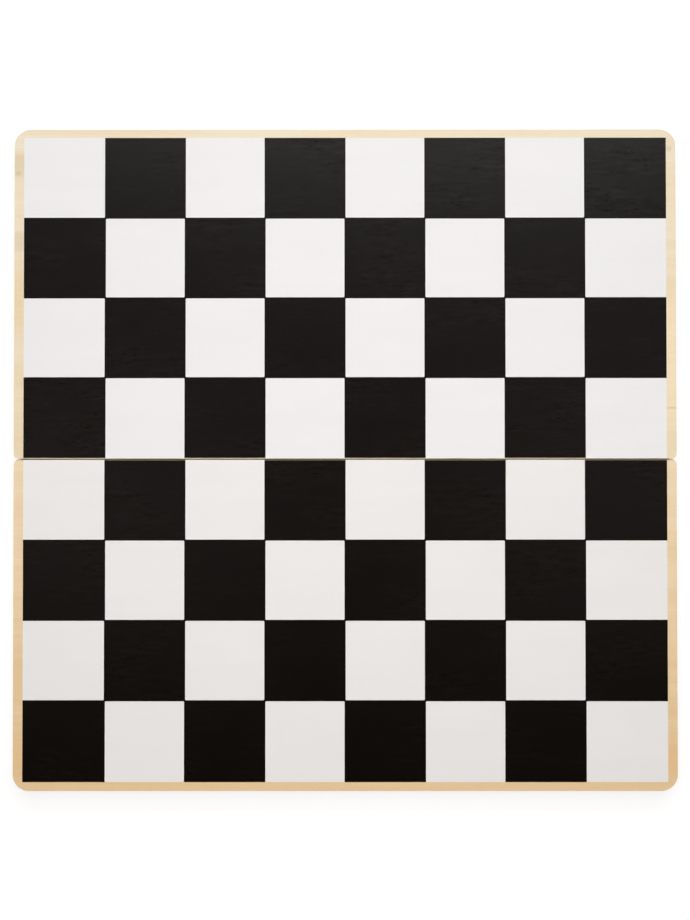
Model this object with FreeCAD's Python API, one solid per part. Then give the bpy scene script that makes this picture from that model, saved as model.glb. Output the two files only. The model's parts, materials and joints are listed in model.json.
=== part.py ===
import FreeCAD
import Part
import os

# A wooden folding chess and backgammon board, lying open with its chess side up.
# It is a flat case in two equal halves. Each half is a tray turned over: a plywood panel glued on four
# comb-jointed walls. The chess squares are printed on the outside of the panels and the backgammon points
# on the inside. Two butt hinges, let into the rims along the fold, join the halves.
# X runs along the fold, Y across it and Z up. The origin is under the middle of the board, level with the
# lowest point of the hinge knuckles. Sizes are in millimetres.

# Chess squares
file_count = 8
rank_count_per_half = 4
square_pitch = 41.0
dark_square_growth = 0.55
side_overprint = 0.8
outer_overprint = 0.4
print_corner_radius = 0.5
print_shift = 0.15
ink_thickness = 0.1

# Bare wood between the printed field and the panel's edges
side_margin = 4.95
outer_margin = 4.4
fold_margin = 0.4

# Panels and walls
fold_gap = 0.4
panel_thickness = 4.0
wall_height = 18.0
wall_thickness = 8.0
outer_corner_radius = 8.4
fold_corner_radius = 2.5
edge_round = 0.15
rim_round = 0.3
comb_finger_count = 5

# Backgammon points
point_count_per_row = 6
point_length = 132.0
point_base_inset = 2.0
point_gap = 1.2
point_tip_width = 0.8

# Hinges
hinge_inset = 75.0
hinge_length = 30.0
knuckle_count = 5
knuckle_end_gap = 0.15
knuckle_clearance = 0.25
leaf_thickness = 0.7
leaf_recess = 0.1
leaf_land = 1.0
leaf_corner_radius = 0.8
roll_slit = 0.15
pin_radius = 0.65
pin_clearance = 0.05
pin_end_chamfer = 0.15
mortise_clearance = 0.1

# Hinge screws
screw_spacing = 17.0
screw_length = 9.0
screw_shank_radius = 0.85
screw_head_radius = 1.5
screw_point_length = 2.0
screw_clearance = 0.05
screw_cross_length = 1.7
screw_cross_width = 0.35
screw_cross_depth = 0.35

# Closing magnets
magnet_inset = 60.0
magnet_radius = 2.5
magnet_height = 3.0
magnet_recess = 0.1
magnet_clearance = 0.05
magnet_chamfer = 0.25

# Every cut runs past its work by this much, and places are compared to within the tolerance
overrun = 2.0
tolerance = 0.001

# Sizes worked out from those above
field_width = file_count * square_pitch + 2 * side_overprint
field_depth = rank_count_per_half * square_pitch + outer_overprint
board_width = field_width + 2 * side_margin
half_depth = field_depth + outer_margin + fold_margin

knuckle_radius = pin_radius + pin_clearance + leaf_thickness
leaf_reach = fold_gap / 2 + wall_thickness - leaf_land
leaf_root = knuckle_radius + knuckle_clearance
screw_offset = (leaf_root + leaf_reach) / 2
screw_head_height = screw_head_radius - screw_shank_radius

left_x = -board_width / 2
right_x = board_width / 2
fold_y = -fold_gap / 2
outer_y = fold_y - half_depth
cavity_left_x = left_x + wall_thickness
cavity_right_x = right_x - wall_thickness
cavity_fold_y = fold_y - wall_thickness
cavity_outer_y = outer_y + wall_thickness

rim_z = knuckle_radius
panel_bottom_z = rim_z + wall_height
panel_top_z = panel_bottom_z + panel_thickness
leaf_bottom_z = rim_z + leaf_recess

hinge_places = {"left": left_x + hinge_inset, "right": right_x - hinge_inset}
magnet_places = (left_x + magnet_inset, right_x - magnet_inset)
magnet_y = outer_y + wall_thickness / 2

Vector = FreeCAD.Vector
x_axis = Vector(1, 0, 0)
z_axis = Vector(0, 0, 1)


def block(x_range, y_range, z_range):
    """A box between three pairs of planes."""
    low, high = zip(sorted(x_range), sorted(y_range), sorted(z_range))
    size = [end - start for start, end in zip(low, high)]
    return Part.makeBox(*size, Vector(*low))


def prism(corners, low_z, height):
    """A flat outline of (x, y) corners, raised from low_z."""
    points = [Vector(x, y, low_z) for x, y in corners]
    outline = Part.makePolygon(points + points[:1])
    return Part.Face(outline).extrude(z_axis * height)


def turned(profile, place):
    """A solid of revolution about Z from (radius, height) corners, set at a place."""
    points = [Vector(radius, 0, height) for radius, height in profile]
    outline = Part.makePolygon(points + points[:1])
    solid = Part.Face(outline).revolve(Vector(), z_axis, 360)
    solid.translate(place)
    return solid


def upright_edges(solid, y):
    """The straight edges along Z that stand at this y."""
    found = []
    for edge in solid.Edges:
        box = edge.BoundBox
        if box.XLength < tolerance and box.YLength < tolerance and abs(box.YMin - y) < tolerance:
            found.append(edge)
    return found


def level_edges(solid, z):
    """The edges that lie flat at this height."""
    return [e for e in solid.Edges if max(abs(e.BoundBox.ZMin - z), abs(e.BoundBox.ZMax - z)) < tolerance]


def turned_over(solid):
    """The same piece on the rear half, half a turn about the board's middle."""
    copy = solid.copy()
    copy.rotate(Vector(), z_axis, 180)
    return copy


# Each piece is made for the front half. The halves differ only in how their chess print is placed.
def half_slab(low_z, height):
    """The plan of one half, with large corners outside and small ones at the fold."""
    slab = block((left_x, right_x), (outer_y, fold_y), (low_z, low_z + height))
    slab = slab.makeFillet(outer_corner_radius, upright_edges(slab, outer_y))
    return slab.makeFillet(fold_corner_radius, upright_edges(slab, fold_y))


def make_panel():
    """The plywood panel, with its upper edges eased."""
    slab = half_slab(panel_bottom_z, panel_thickness)
    return slab.makeFillet(edge_round, level_edges(slab, panel_top_z))


def make_wall_ring():
    """All four walls before they are parted, with the rim's edges eased."""
    cavity = block(
        (cavity_left_x, cavity_right_x),
        (cavity_outer_y, cavity_fold_y),
        (rim_z - overrun, panel_bottom_z + overrun),
    )
    ring = half_slab(rim_z, wall_height).cut(cavity)
    return ring.makeFillet(rim_round, level_edges(ring, rim_z))


def comb_slots(first_level):
    """Every other finger's space in the four corners, counted up from the rim."""
    x_corners = ((left_x - overrun, cavity_left_x), (cavity_right_x, right_x + overrun))
    y_corners = ((outer_y - overrun, cavity_outer_y), (cavity_fold_y, fold_y + overrun))
    finger_height = wall_height / comb_finger_count
    slots = []
    for level in range(first_level, comb_finger_count, 2):
        low_z = rim_z + level * finger_height
        for x_range in x_corners:
            slots += [block(x_range, y_range, (low_z, low_z + finger_height)) for y_range in y_corners]
    return slots


def make_walls():
    """The four walls, parted where their fingers interlock. The end walls hold the rim's corners."""
    ring = make_wall_ring()
    all_x = (left_x - overrun, right_x + overrun)
    all_y = (outer_y - overrun, fold_y + overrun)
    all_z = (rim_z - overrun, panel_bottom_z + overrun)
    strips = {
        "left_wall": (block((all_x[0], cavity_left_x), all_y, all_z), 1),
        "right_wall": (block((cavity_right_x, all_x[1]), all_y, all_z), 1),
        "outer_wall": (block(all_x, (all_y[0], cavity_outer_y), all_z), 0),
        "hinge_wall": (block(all_x, (cavity_fold_y, all_y[1]), all_z), 0),
    }
    walls = {}
    for name, (strip, first_slot) in strips.items():
        walls[name] = ring.common(strip).cut(comb_slots(first_slot))
    for x in hinge_places.values():
        walls["hinge_wall"] = walls["hinge_wall"].cut(hinge_pocket(x))
    for x in magnet_places:
        walls["outer_wall"] = walls["outer_wall"].cut(magnet_pocket(x))
    return {name: wall.removeSplitter() for name, wall in walls.items()}


# Printed layers
def square_cell(file, rank, shift):
    """The space of one light square. On the border it runs past the printed field."""
    shrink = dark_square_growth / 2
    low_x = file * square_pitch - file_count * square_pitch / 2
    high_y = fold_y - fold_margin - rank * square_pitch + shift
    x_range = [low_x + shrink, low_x + square_pitch - shrink]
    y_range = [high_y - square_pitch + shrink, high_y - shrink]
    if file == 0:
        x_range[0] = left_x
    if file == file_count - 1:
        x_range[1] = right_x
    if rank == 0:
        y_range[1] = fold_y + overrun
    if rank == rank_count_per_half - 1:
        y_range[0] = outer_y
    cell = block(x_range, y_range, (panel_top_z, panel_top_z + ink_thickness))
    corners = upright_edges(cell, y_range[0]) + upright_edges(cell, y_range[1])
    return cell.makeFillet(print_corner_radius, corners)


def make_squares(shift):
    """The dark squares, one film that joins at their corners, and the light ones.

    A shift is towards the fold. There the light squares run on to the panel's eased edge.
    """
    x_range = (-field_width / 2, field_width / 2)
    field_outer_y = outer_y + outer_margin + shift
    z_range = (panel_top_z, panel_top_z + ink_thickness)
    dark_field = block(x_range, (field_outer_y, fold_y - fold_margin), z_range)
    light_field = block(x_range, (field_outer_y, fold_y - edge_round), z_range)
    cells = [
        square_cell(file, rank, shift)
        for rank in range(rank_count_per_half)
        for file in range(file_count)
        if (file + rank) % 2 == 0
    ]
    return dark_field.cut(cells), Part.makeCompound([light_field.common(cell) for cell in cells])


def make_points():
    """The dark and light backgammon points, in a row along each end wall with their tips to the middle."""
    pitch = (cavity_fold_y - cavity_outer_y) / point_count_per_row
    half_base = (pitch - point_gap) / 2
    half_tip = point_tip_width / 2
    films = ([], [])
    for row, (base_x, inward) in enumerate(((cavity_left_x, 1), (cavity_right_x, -1))):
        start_x = base_x + inward * point_base_inset
        tip_x = start_x + inward * point_length
        for index in range(point_count_per_row):
            y = cavity_outer_y + (index + 1 / 2) * pitch
            corners = [
                (start_x, y - half_base),
                (tip_x, y - half_tip),
                (tip_x, y + half_tip),
                (start_x, y + half_base),
            ]
            film = prism(corners, panel_bottom_z - ink_thickness, ink_thickness)
            films[(index + row) % 2].append(film)
    return Part.makeCompound(films[0]), Part.makeCompound(films[1])


# Hinges, each made about its pin and then set along the fold
def hinge_rod(radius, length, x):
    """A round bar on the hinge axis, centred at x."""
    return Part.makeCylinder(radius, length, Vector(x - length / 2, 0, rim_z), x_axis)


def screw_places(x):
    return [Vector(x + side * screw_spacing / 2, -screw_offset, leaf_bottom_z) for side in (-1, 1)]


def screw_shape(place, grown=0):
    """A countersunk wood screw, head down, or the hole for it when grown by a clearance."""
    shank = screw_shank_radius + grown
    head = screw_head_radius + grown
    tip_z = screw_length + grown
    profile = [
        (0, 0),
        (head, 0),
        (shank, screw_head_height),
        (shank, tip_z - screw_point_length),
        (0, tip_z),
    ]
    return turned(profile, place)


def make_screw(place):
    """One screw with a cross recess in its head."""
    screw = screw_shape(place)
    length = screw_cross_length / 2
    width = screw_cross_width / 2
    z_range = (place.z - overrun, place.z + screw_cross_depth)
    for half_x, half_y in ((length, width), (width, length)):
        bar = block((place.x - half_x, place.x + half_x), (place.y - half_y, place.y + half_y), z_range)
        screw = screw.cut(bar)
    return screw


def hinge_pocket(x):
    """What one hinge takes out of a wall: the leaf's mortise, room for the knuckles, and screw holes."""
    half_length = hinge_length / 2 + mortise_clearance
    mortise = block(
        (x - half_length, x + half_length),
        (-leaf_reach - mortise_clearance, overrun),
        (rim_z - overrun, leaf_bottom_z + leaf_thickness),
    )
    barrel_room = hinge_rod(knuckle_radius + knuckle_clearance, 2 * half_length, x)
    holes = [screw_shape(place, screw_clearance) for place in screw_places(x)]
    return mortise.fuse([barrel_room] + holes)


def make_leaf(own_knuckles):
    """One leaf on the front side of a pin at x = 0, rolled into every knuckle that it owns."""
    half_length = hinge_length / 2
    leaf_z = (leaf_bottom_z, leaf_bottom_z + leaf_thickness)
    plate = block((-half_length, half_length), (-leaf_reach, -leaf_root), leaf_z)
    plate = plate.makeFillet(leaf_corner_radius, upright_edges(plate, -leaf_reach))
    knuckle_length = (hinge_length - (knuckle_count - 1) * knuckle_end_gap) / knuckle_count
    solids = []
    for index in own_knuckles:
        low_x = index * (knuckle_length + knuckle_end_gap) - half_length
        solids.append(block((low_x, low_x + knuckle_length), (-leaf_root, 0), leaf_z))
        solids.append(hinge_rod(knuckle_radius, knuckle_length, low_x + knuckle_length / 2))
    bore = hinge_rod(pin_radius + pin_clearance, hinge_length + 2 * overrun, 0)
    slit = block(
        (-half_length - overrun, half_length + overrun),
        (-leaf_root - overrun, 0),
        (leaf_bottom_z - roll_slit, leaf_bottom_z),
    )
    holes = [screw_shape(place, screw_clearance) for place in screw_places(0)]
    return plate.fuse(solids).cut([bore, slit] + holes).removeSplitter()


def make_pin():
    """The hinge pin at x = 0, with its ends broken."""
    pin = hinge_rod(pin_radius, hinge_length, 0)
    ends = [edge for edge in pin.Edges if edge.BoundBox.XLength < tolerance]
    return pin.makeChamfer(pin_end_chamfer, ends)


def moved(solid, x):
    copy = solid.copy()
    copy.translate(x_axis * x)
    return copy


# Magnets in the outer walls' rims
def magnet_pocket(x):
    depth = magnet_recess + magnet_height
    place = Vector(x, magnet_y, rim_z - overrun)
    return Part.makeCylinder(magnet_radius + magnet_clearance, depth + overrun, place)


def make_magnet(x):
    """A disc magnet with broken edges, seated at the bottom of its pocket."""
    disc = Part.makeCylinder(magnet_radius, magnet_height, Vector(x, magnet_y, rim_z + magnet_recess))
    rims = [edge for edge in disc.Edges if edge.BoundBox.ZLength < tolerance]
    return disc.makeChamfer(magnet_chamfer, rims)


def make_half(shift):
    """Every piece of one half, apart from its hinge leaves, with its chess print moved towards the fold."""
    pieces = make_walls()
    pieces["panel"] = make_panel()
    pieces["dark_squares"], pieces["white_squares"] = make_squares(shift)
    pieces["dark_points"], pieces["white_points"] = make_points()
    pieces["magnets"] = Part.makeCompound([make_magnet(x) for x in magnet_places])
    places = [place for x in hinge_places.values() for place in screw_places(x)]
    pieces["hinge_screws"] = Part.makeCompound([make_screw(place) for place in places])
    return pieces


def make_nodes():
    """Every named piece of the board in its place."""
    opposite = {"left_wall": "right_wall", "right_wall": "left_wall"}
    nodes = {}
    for name, piece in make_half(print_shift).items():
        nodes["front_" + name] = piece
    for name, piece in make_half(-print_shift).items():
        nodes["rear_" + opposite.get(name, name)] = turned_over(piece)
    front_leaf = make_leaf(range(0, knuckle_count, 2))
    rear_leaf = turned_over(make_leaf(range(1, knuckle_count, 2)))
    pin = make_pin()
    for side, x in hinge_places.items():
        nodes[side + "_hinge_front_leaf"] = moved(front_leaf, x)
        nodes[side + "_hinge_rear_leaf"] = moved(rear_leaf, x)
        nodes[side + "_hinge_pin"] = moved(pin, x)
    return nodes


os.makedirs("parts", exist_ok=True)
for node_name, node_shape in make_nodes().items():
    node_shape.exportStep("parts/" + node_name + ".step")
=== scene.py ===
import json
import math
from functools import cached_property

import bpy
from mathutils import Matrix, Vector

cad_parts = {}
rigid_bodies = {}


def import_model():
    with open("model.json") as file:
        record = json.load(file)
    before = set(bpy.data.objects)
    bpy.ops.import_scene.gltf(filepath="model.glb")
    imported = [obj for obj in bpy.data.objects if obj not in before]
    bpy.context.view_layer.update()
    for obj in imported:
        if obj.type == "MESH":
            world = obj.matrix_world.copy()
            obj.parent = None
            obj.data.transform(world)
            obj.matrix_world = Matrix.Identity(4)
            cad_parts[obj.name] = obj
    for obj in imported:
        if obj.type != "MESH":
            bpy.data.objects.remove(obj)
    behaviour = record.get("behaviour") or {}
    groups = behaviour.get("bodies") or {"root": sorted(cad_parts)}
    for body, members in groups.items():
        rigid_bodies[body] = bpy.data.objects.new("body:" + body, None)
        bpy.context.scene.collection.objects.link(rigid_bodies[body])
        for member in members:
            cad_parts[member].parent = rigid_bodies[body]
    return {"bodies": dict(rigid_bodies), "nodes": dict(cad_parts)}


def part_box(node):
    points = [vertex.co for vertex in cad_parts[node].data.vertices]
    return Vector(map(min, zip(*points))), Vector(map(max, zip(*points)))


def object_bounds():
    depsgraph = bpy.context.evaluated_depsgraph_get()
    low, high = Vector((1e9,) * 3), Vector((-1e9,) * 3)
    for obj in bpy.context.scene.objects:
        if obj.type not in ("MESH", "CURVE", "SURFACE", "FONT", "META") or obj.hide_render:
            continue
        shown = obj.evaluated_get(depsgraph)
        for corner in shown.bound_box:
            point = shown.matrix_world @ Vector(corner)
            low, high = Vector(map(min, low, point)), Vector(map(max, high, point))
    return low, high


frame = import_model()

# A wooden folding chess and backgammon board, open flat with the chess side up.
# The CAD nodes keep their shapes, and each gets a procedural material here. Lengths are metres.

cad_low, cad_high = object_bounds()
panel_low, panel_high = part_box("front_panel")
scene = bpy.context.scene

MM = 0.001


def mm(*values):
    """Sizes or a place given in millimetres, as a tuple in metres."""
    return tuple(value * MM for value in values)


def shade(colour, share):
    """A colour darkened to a share of itself."""
    return [channel * share for channel in colour]


# Node trees
class Tree:
    """A shader node tree, with short calls for the nodes that recur. Each call adds nodes to it."""

    def __init__(self, owner):
        owner.use_nodes = True
        self.nodes = owner.node_tree.nodes
        self.links = owner.node_tree.links
        self.nodes.clear()

    def node(self, kind, inputs=None, **settings):
        """A new node. Its inputs, by name or number, are plain values or other nodes' outputs."""
        node = self.nodes.new("ShaderNode" + kind)
        for name, value in settings.items():
            setattr(node, name, value)
        for key, value in (inputs or {}).items():
            self.feed(node.inputs[key], value)
        return node

    def result(self, kind, inputs=None, **settings):
        """A new node's first output."""
        return self.node(kind, inputs, **settings).outputs[0]

    def feed(self, socket, value):
        """Links an output to an input, or sets a plain value there. A colour has three numbers."""
        if isinstance(value, bpy.types.NodeSocket):
            self.links.new(value, socket)
        elif socket.type == "RGBA":
            socket.default_value = (*value, 1.0)
        else:
            socket.default_value = value

    def math(self, operation, *values, clamp=False):
        return self.result("Math", dict(enumerate(values)), operation=operation, use_clamp=clamp)

    def plus(self, a, b):
        return self.math("ADD", a, b)

    def minus(self, a, b):
        return self.math("SUBTRACT", a, b)

    def times(self, a, b):
        return self.math("MULTIPLY", a, b)

    def over(self, a, b):
        return self.math("DIVIDE", a, b)

    def absolute(self, value):
        return self.math("ABSOLUTE", value)

    def squares(self, a, b):
        """The sum of two squares."""
        return self.plus(self.times(a, a), self.times(b, b))

    def split(self, vector):
        return self.node("SeparateXYZ", {0: vector}).outputs

    def join(self, x, y, z):
        return self.result("CombineXYZ", {0: x, 1: y, 2: z})

    def span(self, value, start, end, to_start=0.0, to_end=1.0):
        """Takes a value smoothly from one range to another, and holds it at the ends."""
        inputs = {"Value": value, "From Min": start, "From Max": end, "To Min": to_start, "To Max": to_end}
        return self.result("MapRange", inputs, interpolation_type="SMOOTHSTEP")

    def mix(self, factor, a, b):
        """Colour a where the factor is 0, and colour b where it is 1."""
        # a Mix node also has inputs and outputs of the same names for numbers and vectors
        colour_a, colour_b, colour_out = 6, 7, 2
        inputs = {"Factor": factor, colour_a: a, colour_b: b}
        return self.node("Mix", inputs, data_type="RGBA").outputs[colour_out]

    def ramp(self, value, stops):
        """A colour ramp with (position, colour) stops."""
        node = self.node("ValToRGB", {0: value})
        elements = node.color_ramp.elements
        while len(elements) < len(stops):
            elements.new(0.5)  # its place is set below
        for element, (position, colour) in zip(elements, stops):
            element.position = position
            element.color = (*colour, 1.0)
        return node.outputs["Color"]


class Material(Tree):
    """A material that ends in one Principled shader. Its seed sets its noise apart from the others'."""

    SEED_STEP = (7.3, 3.1, 5.7)  # in noise cells, from one seed or layer to the next

    def __init__(self, name, seed, metallic=0.0, specular=0.5):
        self.material = bpy.data.materials.new(name)
        super().__init__(self.material)
        self.seed = seed
        self.shader = self.node("BsdfPrincipled", {"Metallic": metallic, "Specular IOR Level": specular})
        self.node("OutputMaterial", {"Surface": self.shader.outputs["BSDF"]})
        coordinates = self.node("TexCoord").outputs
        self.place = coordinates["Object"]
        self.normal = coordinates["Normal"]

    def noise(self, place, cell, layer, detail=3.0, rough=0.5):
        """Noise from 0 to 1, mostly near 0.5, with features of about one cell, (x, y, z), in size.

        Each layer of a material is a pattern of its own.
        """
        shift = [(self.seed + layer) * step for step in self.SEED_STEP]
        scale = [1 / size for size in cell]
        mapped = self.result("Mapping", {"Vector": place, "Location": shift, "Scale": scale})
        inputs = {"Vector": mapped, "Scale": 1.0, "Detail": detail, "Roughness": rough}
        return self.node("TexNoise", inputs).outputs["Fac"]

    def finish(self, colour, roughness, relief, depth, strength):
        """Feeds the shader. One unit of the relief's height stands for the depth."""
        normal = self.result("Bump", {"Height": relief, "Distance": depth, "Strength": strength})
        for name, value in (("Base Color", colour), ("Roughness", roughness), ("Normal", normal)):
            self.feed(self.shader.inputs[name], value)
        return self.material


# Wood
class Grain:
    """The grain of wood along its X or Y axis: growth bands, fibres and pores, each from 0 to 1.

    It wanders to either side by up to half of the wander. Each of the three is made when it is first used.
    """

    def __init__(self, wood, axis, wander=5 * MM, first_layer=0):
        self.wood = wood
        self.first_layer = first_layer
        x, y, z = wood.split(wood.place)
        along, across = (x, y) if axis == "X" else (y, x)
        straight = wood.join(along, across, z)
        drift = wood.noise(straight, cell=mm(140, 30, 30), layer=first_layer, detail=1.0)
        across = wood.plus(across, wood.times(wood.minus(drift, 0.5), wander))
        self.place = wood.join(along, across, z)

    def noise(self, cell, layer, **looks):
        """Noise whose cell is (along, across, through) the grain."""
        return self.wood.noise(self.place, cell, self.first_layer + layer, **looks)

    @cached_property
    def bands(self):
        return self.noise(cell=mm(420, 9, 9), layer=1, detail=2.5, rough=0.55)

    @cached_property
    def fibres(self):
        return self.noise(cell=mm(45, 0.7, 0.7), layer=2, rough=0.6)

    @cached_property
    def pores(self):
        return self.wood.span(self.noise(cell=mm(5, 0.28, 0.28), layer=3, detail=1.0), 0.66, 0.78)

    def stain(self, colour, tone, fibre_stain, pore_stain):
        """A colour with darker fibres and pores. A stain is (strength, share of the tone that it leaves)."""
        strength, share = fibre_stain
        amount = self.wood.span(self.fibres, 0.25, 0.75, strength, 0.0)
        colour = self.wood.mix(amount, colour, shade(tone, share))
        strength, share = pore_stain
        return self.wood.mix(self.wood.times(self.pores, strength), colour, shade(tone, share))

    def roughness(self, low, high):
        """Roughness that goes from the low to the high places of the fibres."""
        return self.wood.span(self.fibres, 0.2, 0.8, low, high)

    def relief(self, pore_depth):
        """The height of the fibres, with the pores sunk into them."""
        return self.wood.minus(self.fibres, self.wood.times(self.pores, pore_depth))


def oval(wood, centre, reach):
    """A soft oval mark, 1 at its (x, y) centre and 0 at its reach."""
    x, y, _ = wood.split(wood.place)
    along = wood.over(wood.minus(x, centre[0]), reach[0])
    across = wood.over(wood.minus(y, centre[1]), reach[1])
    return wood.span(wood.squares(along, across), 1.0, 0.0)


def veneer(grain, fold_tones, outer_tones, marks):
    """The colour of a panel's face, with the tones and marks that plywood describes."""
    wood = grain.wood
    tone_stops = (0.30, 0.50, 0.70)
    warm = outer_tones[0]
    by_fold = wood.ramp(grain.bands, list(zip(tone_stops, fold_tones)))
    by_rim = wood.ramp(grain.bands, list(zip(tone_stops, outer_tones)))
    from_fold = wood.absolute(wood.split(wood.place)["Y"])
    colour = wood.mix(wood.span(from_fold, 0.0, cad_high.y), by_fold, by_rim)
    for centre, reach, tint, strength in marks:
        colour = wood.mix(wood.times(oval(wood, centre, reach), strength), colour, tint)
    return grain.stain(colour, warm, fibre_stain=(0.10, 0.62), pore_stain=(0.14, 0.45))


def cross_ply(wood, tone):
    """The colour of a panel's core, whose grain runs along Y."""
    grain = Grain(wood, "Y", first_layer=20)
    colour = wood.mix(wood.span(grain.fibres, 0.3, 0.7), shade(tone, 0.72), tone)
    return wood.mix(wood.times(grain.pores, 0.35), colour, shade(tone, 0.40))


def plywood(name, seed, fold_tones, outer_tones, core_tone, marks=(), fold_painted_shade=0.0):
    """A lacquered panel of three plies: face veneers with their grain along X on a cross-grained core.

    The face tones are (warm, mid, pale), and drift from the fold to the outer edge. The marks are
    (centre, reach, colour, strength) of streaks in the veneer. The last argument is how strongly painted
    shade darkens the front panel's edge at the fold, in place of the shadow in the seam's gap.
    """
    core_edge, core_blend = mm(1.05, 0.05)  # from the panel's middle, as is the glue line
    glue_line, glue_reach, glue_heart = mm(1.04, 0.10, 0.02)
    # Painted shade at the fold: how far in from the panel's edge at the fold, and how far down from its
    # upper face, it reaches
    painted_shade_start, painted_shade_full = mm(0.42, 0.30)  # from the panel's edge at the fold
    painted_shade_bottom, painted_shade_top = mm(0.6, 0.3)  # down from the panel's upper face
    wood = Material(name, seed, specular=0.25)
    grain = Grain(wood, "X")
    _, y, z = wood.split(wood.place)

    from_middle = wood.absolute(wood.minus(z, (panel_low.z + panel_high.z) / 2))
    in_face = wood.span(from_middle, core_edge - core_blend, core_edge + core_blend)
    face = veneer(grain, fold_tones, outer_tones, marks)
    colour = wood.mix(in_face, cross_ply(wood, core_tone), face)
    glue = wood.span(wood.absolute(wood.minus(from_middle, glue_line)), glue_reach, glue_heart)
    colour = wood.mix(wood.times(glue, 0.45), colour, shade(core_tone, 0.35))
    # Painted shade: the panel's upper edge at the fold darkens towards the core's tone, standing in for the
    # shadow in the seam's gap
    at_fold = wood.span(y, panel_high.y - painted_shade_start, panel_high.y - painted_shade_full)
    at_top = wood.span(z, panel_high.z - painted_shade_bottom, panel_high.z - painted_shade_top)
    painted_fold_shade = wood.times(wood.times(at_fold, at_top), fold_painted_shade)
    colour = wood.mix(painted_fold_shade, colour, shade(core_tone, 0.15))

    roughness = wood.plus(grain.roughness(0.46, 0.36), wood.times(grain.pores, 0.12))
    return wood.finish(colour, roughness, grain.relief(pore_depth=0.8), depth=0.04 * MM, strength=0.5)


def end_grain(wood, axis, mid, deep):
    """The colour of sawn ends: rings about a pith beside and below the piece, and dots of cut pores."""
    pith_across, pith_below, ring_width = mm(60, 45, 1.5)
    wobble_rings = 1.6
    x, y, z = wood.split(wood.place)
    across = wood.minus(y if axis == "X" else x, pith_across)
    radius = wood.math("SQRT", wood.squares(across, wood.plus(z, pith_below)))
    wobble = wood.noise(wood.place, cell=mm(9, 9, 9), layer=5, detail=2.0)
    turns = wood.plus(wood.over(radius, ring_width), wood.times(wobble, wobble_rings))
    late_wood = wood.span(wood.math("PINGPONG", turns, 0.5), 0.30, 0.50)
    colour = wood.mix(late_wood, shade(mid, 0.80), shade(deep, 0.86))
    dots = wood.noise(wood.place, cell=mm(0.35, 0.35, 0.35), layer=6, detail=1.0)
    return wood.mix(wood.span(dots, 0.58, 0.72, 0.0, 0.35), colour, shade(deep, 0.50))


def solid_wood(name, seed, axis, pale, mid, deep):
    """Lacquered solid wood with its grain along an axis. Faces across the grain are darker end grain."""
    wood = Material(name, seed, specular=0.4)
    grain = Grain(wood, axis, wander=9 * MM)
    side = wood.ramp(grain.bands, ((0.30, deep), (0.48, mid), (0.68, pale)))
    side = grain.stain(side, deep, fibre_stain=(0.30, 0.60), pore_stain=(0.40, 0.35))
    at_end = wood.span(wood.absolute(wood.split(wood.normal)[axis]), 0.75, 0.95)
    colour = wood.mix(at_end, side, end_grain(wood, axis, mid, deep))
    roughness = wood.plus(grain.roughness(0.50, 0.38), wood.times(at_end, 0.12))
    return wood.finish(colour, roughness, grain.relief(pore_depth=0.9), depth=0.06 * MM, strength=0.7)


# Ink and metal
def ink(name, seed, base, lift, speck):
    """Satin printing ink, flat and smooth, with faint clouds, a few specks and a trace of the grain below.

    In patches the veneer shows in its gloss, as soft streaks and as pores that leave short dull dashes.
    """
    roughness, roughness_sway = 0.29, 0.010
    gloss, pore_dulling = 0.20, 0.42
    cloud_share, speck_strength, fibre_height = 0.6, 0.5, 0.15
    film = Material(name, seed, specular=gloss)
    grain = Grain(film, "X")
    cloud = film.noise(film.place, cell=mm(34, 20, 20), layer=5, detail=4.0, rough=0.6)

    tone = film.plus(film.times(cloud, cloud_share), film.times(grain.bands, 1 - cloud_share))
    colour = film.mix(film.span(tone, 0.30, 0.70), base, lift)
    dust = film.noise(film.place, cell=mm(0.8, 0.8, 0.8), layer=6, detail=0.0)
    colour = film.mix(film.span(dust, 0.81, 0.86, 0.0, speck_strength), colour, speck)

    figure = film.noise(film.place, cell=mm(8, 1.8, 1.8), layer=9, detail=2.0)
    streaks = film.times(film.minus(figure, 0.5), film.span(cloud, 0.44, 0.60, 0.15, 1.0))
    dashes = film.noise(film.place, cell=mm(3.2, 0.9, 0.9), layer=8, detail=1.0)
    open_pores = film.times(film.span(dashes, 0.58, 0.72), film.span(cloud, 0.53, 0.62))
    sheen = film.math("MULTIPLY_ADD", streaks, gloss, gloss)
    sheen = film.math("MULTIPLY_ADD", open_pores, -pore_dulling * gloss, sheen)
    film.feed(film.shader.inputs["Specular IOR Level"], sheen)

    trace = film.times(film.minus(grain.fibres, 0.5), film.span(cloud, 0.50, 0.65, 0.006, 0.030))
    shine = film.span(cloud, 0.3, 0.7, roughness - roughness_sway, roughness + roughness_sway)
    peel = film.noise(film.place, cell=mm(3, 1.6, 1.6), layer=7, detail=1.0)
    relief = film.plus(peel, film.times(grain.fibres, fibre_height))
    return film.finish(colour, film.plus(shine, trace), relief, depth=0.010 * MM, strength=0.5)


def metal(name, seed, bright, dull, clean_roughness, dull_roughness, scratch):
    """Rolled or plated metal with a slightly tarnished skin and fine scratches of the size given."""
    skin = Material(name, seed, metallic=1.0)
    tarnish = skin.noise(skin.place, cell=mm(11, 5, 5), layer=0)
    scratches = skin.noise(skin.place, cell=scratch, layer=1, detail=2.0)
    colour = skin.mix(skin.span(tarnish, 0.35, 0.85), bright, dull)
    colour = skin.mix(skin.span(scratches, 0.28, 0.55, 0.22, 0.0), colour, shade(dull, 0.6))
    roughness = skin.plus(skin.span(tarnish, 0.35, 0.75, clean_roughness, dull_roughness),
                          skin.span(scratches, 0.35, 0.65, 0.08, -0.04))
    return skin.finish(colour, roughness, scratches, depth=0.01 * MM, strength=0.5)
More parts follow.
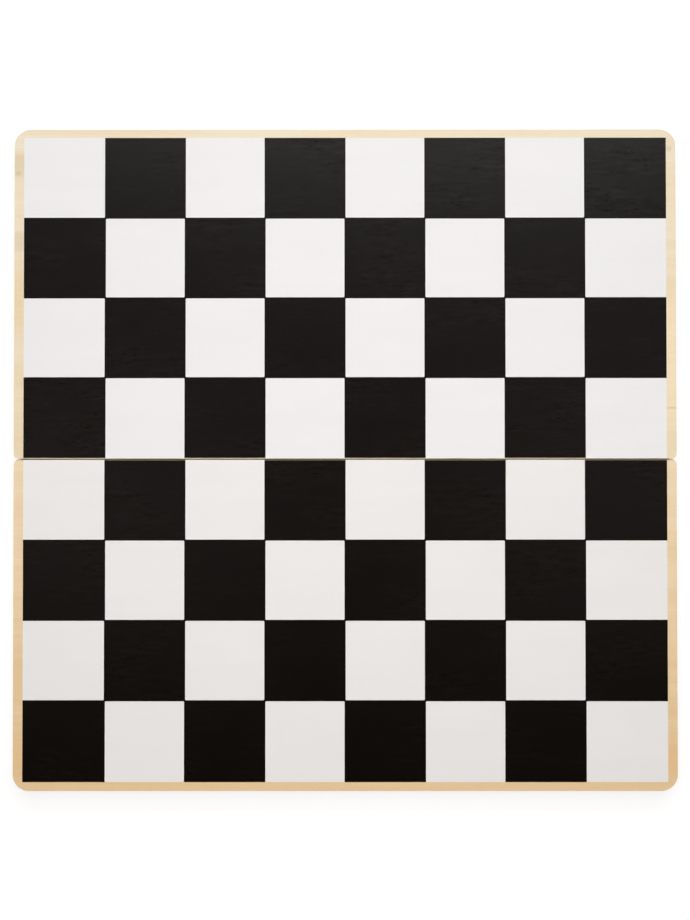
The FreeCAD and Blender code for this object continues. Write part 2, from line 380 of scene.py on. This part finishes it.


# The board's materials
# The front panel gets painted shade along its edge at the fold, for the shadow in the seam's gap
front_plywood = plywood(
    "front_plywood", seed=2.0,
    fold_tones=((0.86, 0.65, 0.40), (0.88, 0.695, 0.46), (0.90, 0.73, 0.51)),
    outer_tones=((0.81, 0.54, 0.275), (0.83, 0.58, 0.32), (0.85, 0.62, 0.37)),
    core_tone=(0.62, 0.40, 0.20), fold_painted_shade=0.85)
rear_plywood = plywood(
    "rear_plywood", seed=4.0,
    fold_tones=((0.84, 0.66, 0.42), (0.85, 0.70, 0.475), (0.87, 0.74, 0.54)),
    outer_tones=((0.85, 0.70, 0.48), (0.875, 0.755, 0.565), (0.89, 0.80, 0.65)),
    core_tone=(0.64, 0.44, 0.24),
    marks=(
        (mm(-168, 151), mm(22, 8), (0.66, 0.52, 0.33), 0.45),
        (mm(-168, 112), mm(16, 7), (0.66, 0.54, 0.38), 0.40),
        (mm(-170, 84), mm(90, 24), (0.84, 0.66, 0.42), 0.75),
        (mm(170, 80), mm(60, 14), (0.88, 0.68, 0.44), 0.50),
        (mm(170, 48), mm(40, 46), (0.94, 0.78, 0.54), 0.70),
        (mm(-170, 56), mm(24, 10), (0.88, 0.76, 0.58), 0.60),
        (mm(-46, 168), mm(44, 8), (0.87, 0.78, 0.62), 0.70),
        (mm(-168, 147), mm(2.4, 1.7), (0.60, 0.46, 0.28), 0.38),
        (mm(166.4, 159.5), mm(2.2, 2.2), (0.62, 0.54, 0.34), 0.50),
        (mm(167.3, 26.3), mm(5.0, 0.8), (0.66, 0.48, 0.28), 0.45),
    ))

wall_tones = {"pale": (0.85, 0.655, 0.41), "mid": (0.80, 0.575, 0.33), "deep": (0.68, 0.44, 0.22)}
long_wall_wood = solid_wood("long_wall_wood", seed=6.0, axis="X", **wall_tones)
end_wall_wood = solid_wood("end_wall_wood", seed=8.0, axis="Y", **wall_tones)

white_speck = (0.70, 0.68, 0.66)
dark_ink = ink("dark_ink", seed=10.0, base=(0.0026, 0.0013, 0.0006), lift=(0.0040, 0.0020, 0.0010),
               speck=(0.03, 0.025, 0.02))
# The two white inks are one ink with the same seed: the front one is a little darker and warmer, painted
# shade for the dimmer, warmer light on the front half
rear_white_ink = ink("rear_white_ink", seed=12.0, base=(0.843, 0.829, 0.826), lift=(0.863, 0.849, 0.848),
                     speck=white_speck)
front_white_ink_with_painted_shade = ink("front_white_ink_with_painted_shade", seed=12.0, base=(0.840, 0.814, 0.798), lift=(0.860, 0.835, 0.819),
                      speck=white_speck)

hinge_brass = metal("hinge_brass", seed=14.0, bright=(0.80, 0.58, 0.27), dull=(0.52, 0.34, 0.15),
                    clean_roughness=0.22, dull_roughness=0.42, scratch=mm(8, 0.12, 0.12))
screw_brass = metal("screw_brass", seed=16.0, bright=(0.74, 0.54, 0.27), dull=(0.45, 0.30, 0.15),
                    clean_roughness=0.25, dull_roughness=0.45, scratch=mm(0.4, 0.4, 0.4))
magnet_nickel = metal("magnet_nickel", seed=18.0, bright=(0.62, 0.59, 0.54), dull=(0.42, 0.40, 0.37),
                      clean_roughness=0.18, dull_roughness=0.38, scratch=mm(1.5, 0.10, 0.10))

# A CAD node's material, by a word in its name
material_by_word = {
    "front_panel": front_plywood,
    "rear_panel": rear_plywood,
    "outer_wall": long_wall_wood,
    "hinge_wall": long_wall_wood,
    "left_wall": end_wall_wood,
    "right_wall": end_wall_wood,
    "_dark_": dark_ink,
    "front_white_": front_white_ink_with_painted_shade,
    "rear_white_": rear_white_ink,
    "_leaf": hinge_brass,
    "_pin": hinge_brass,
    "_screws": screw_brass,
    "_magnets": magnet_nickel,
}
for node, piece in frame["nodes"].items():
    piece.data.materials.clear()
    piece.data.materials.append(next(look for word, look in material_by_word.items() if word in node))


# Floors
def floor_material():
    """Pale near the board, where it takes light and shadow, and an even glow of the same tone far out.

    It shows only on the side that it faces.
    """
    tone, lit_share = 1.08, 0.34
    lit_reach, even_reach = 0.27, 0.65
    material = bpy.data.materials.new("floor")
    tree = Tree(material)
    place = tree.node("TexCoord").outputs["Object"]
    distance = tree.node("VectorMath", {0: place}, operation="LENGTH").outputs["Value"]
    glow = tree.result("Emission", {"Strength": tone - lit_share})
    pale = tree.result("BsdfDiffuse", {"Color": [lit_share] * 3})
    near = tree.result("AddShader", {0: glow, 1: pale})
    even = tree.result("Emission", {"Strength": tone})
    face = tree.result("MixShader", {0: tree.span(distance, lit_reach, even_reach), 1: near, 2: even})
    behind = tree.node("NewGeometry").outputs["Backfacing"]
    shown = tree.result("MixShader", {0: behind, 1: face, 2: tree.result("BsdfTransparent")})
    tree.node("OutputMaterial", {"Surface": shown})
    return material


def make_floor(name, z, up, material):
    """A floor that shows only to the camera, so it takes the board's shadow and blocks no light."""
    reach = 6.0
    corners = [(-reach, -reach, z), (reach, -reach, z), (reach, reach, z), (-reach, reach, z)]
    mesh = bpy.data.meshes.new(name)
    mesh.from_pydata(corners if up else corners[::-1], [], [(0, 1, 2, 3)])
    mesh.materials.append(material)
    floor = bpy.data.objects.new(name, mesh)
    scene.collection.objects.link(floor)
    floor.visible_diffuse = False
    floor.visible_glossy = False
    floor.visible_transmission = False
    floor.visible_shadow = False
    floor.parent = frame["bodies"]["rear_half"]


# One lies under the open board. The other lies over the rear half's squares and faces them, so that it comes
# to lie under the closed case when the rear half folds beneath the front one.
pale_floor = floor_material()
open_gap, closed_gap = mm(0.2, 0.5)
make_floor("floor_open", cad_low.z - open_gap, True, pale_floor)
make_floor("floor_closed", cad_high.z + closed_gap, False, pale_floor)


# Light: a soft overhead key, a softbox beyond the rear edge, two side strips and a pale room
def area_light(name, place, target, size, power, colour, spread=180.0, in_gloss=True):
    """A rectangular lamp that points at its target. The power is in watts and the spread in degrees."""
    data = bpy.data.lights.new(name, "AREA")
    data.shape = "RECTANGLE"
    data.size, data.size_y = size
    data.energy = power
    data.color = colour
    data.spread = math.radians(spread)
    lamp = bpy.data.objects.new(name, data)
    lamp.location = place
    lamp.rotation_euler = (Vector(target) - Vector(place)).to_track_quat("-Z", "Y").to_euler()
    lamp.visible_glossy = in_gloss
    scene.collection.objects.link(lamp)


area_light("key", place=(0.0, 0.05, 1.20), target=(0.0, 0.05, 0.0), size=(0.5, 0.5), power=3.35,
           colour=(1.0, 0.99, 0.98), spread=120.0, in_gloss=False)
area_light("rear_softbox", place=(0.04, 0.62, 1.30), target=(0.0, 0.05, 0.0), size=(1.0, 0.3), power=6.32,
           colour=(1.0, 1.0, 1.0))
for name, x, power in (("left_strip", -0.40, 0.38), ("right_strip", 0.40, 0.33)):
    area_light(name, place=(x, 0.0, 1.20), target=(0.0, 0.0, 0.0), size=(0.2, 0.6), power=power,
               colour=(1.0, 0.97, 0.93))


def light_room():
    """A warm pale room that is dark overhead. The camera sees white, and so do downward reflections."""
    warmth = (1.0, 0.985, 0.96)
    levels = ((0.0, 0.85), (0.50, 0.75), (0.65, 0.50), (0.78, 0.20), (0.90, 0.03))  # (height, light)
    zenith = (0.02, 0.02, 0.02)
    world = bpy.data.worlds.new("room")
    scene.world = world
    tree = Tree(world)
    up = tree.split(tree.node("TexCoord").outputs["Generated"])["Z"]
    height = tree.math("MULTIPLY_ADD", up, 0.5, 0.5)  # 0 straight down, 1 straight up
    stops = [(position, shade(warmth, light)) for position, light in levels] + [(1.0, zenith)]
    room = tree.result("Background", {"Color": tree.ramp(height, stops)})
    white = tree.result("Background", {"Color": (1.0, 1.0, 1.0)})
    ray = tree.node("LightPath").outputs
    reflected = tree.math("MAXIMUM", ray["Is Glossy Ray"], ray["Is Transmission Ray"])
    downward = tree.math("LESS_THAN", up, 0.0)
    sees_white = tree.math("MULTIPLY_ADD", reflected, downward, ray["Is Camera Ray"], clamp=True)
    tree.node("OutputWorld", {"Surface": tree.result("MixShader", {0: sees_white, 1: room, 2: white})})


light_room()

# Camera: overhead, fitted to the crossings of the squares in a 690 by 920 frame
camera_data = bpy.data.cameras.new("camera")
camera_data.lens = 85.0
camera_data.sensor_width = 36.0
camera = bpy.data.objects.new("camera", camera_data)
camera.location = mm(2.137, -28.237, 1135.353)
camera.rotation_euler = [math.radians(angle) for angle in (1.430, 0.112, -0.016)]
scene.collection.objects.link(camera)
scene.camera = camera

scene.view_settings.view_transform = "Standard"
